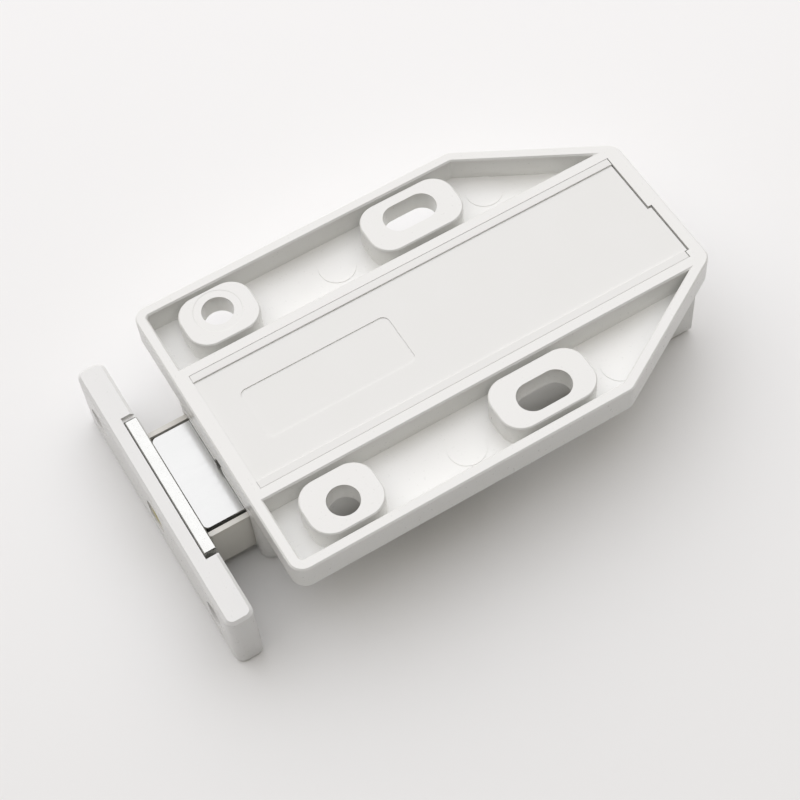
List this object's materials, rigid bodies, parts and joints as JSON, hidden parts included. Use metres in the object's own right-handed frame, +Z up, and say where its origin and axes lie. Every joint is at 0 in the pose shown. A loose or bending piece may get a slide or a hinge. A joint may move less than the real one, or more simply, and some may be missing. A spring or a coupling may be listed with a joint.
{
  "type": "magnetic push catch",
  "caption": "White moulded push-to-open cabinet catch: flat housing with a sprung magnet plunger, held against a slim strike bar with a steel plate.",
  "frame": {"origin": "under the middle of the whole catch with its strike, on the surface that it lies on", "axes": "+Z up, from the flat face of the box to the mounting face; +Y from the strike to the rear of the housing; +X across"},
  "size_m": [0.0434, 0.0756, 0.0155],
  "materials": {
    "white_abs": "moulded ABS, satin",
    "white_acetal": "moulded acetal, satin",
    "ferrite": "sintered ferrite, dull",
    "plated_steel": "zinc plated, bright",
    "spring_steel": "drawn wire, bright",
    "brass": "hollow rivet, satin"
  },
  "bodies": {
    "housing": {"housing": "white_abs", "base_cover": "white_abs", "plunger_spring": "spring_steel"},
    "plunger": {"plunger": "white_acetal", "magnet": "ferrite", "lower_pole_plate": "plated_steel", "upper_pole_plate": "plated_steel"},
    "follower": {"cam_follower": "spring_steel"},
    "strike": {"strike_bar": "white_abs", "strike_plate": "plated_steel", "strike_rivet": "brass"}
  },
  "joints": [
    {"name": "plunger_push", "type": "slide", "parent": "housing", "child": "plunger", "axis": [0, 1, 0], "range_m": [0, 0.0046], "stiffness_N_per_m": 400, "springref_m": -0.006, "deforming": ["plunger_spring"]},
    {"name": "follower_swing", "type": "hinge", "parent": "housing", "child": "follower", "pos_m": [0, 0.0239, 0.0119], "axis": [0, 0, 1], "range_deg": [0, 9.6]},
    {"name": "strike_release", "type": "slide", "parent": "plunger", "child": "strike", "axis": [0, -1, 0], "range_m": [0, 0.03]}
  ],
  "couplings": [
    {"joint": "follower_swing", "follows": "plunger_push", "rad_per_m": 36.402}
  ]
}
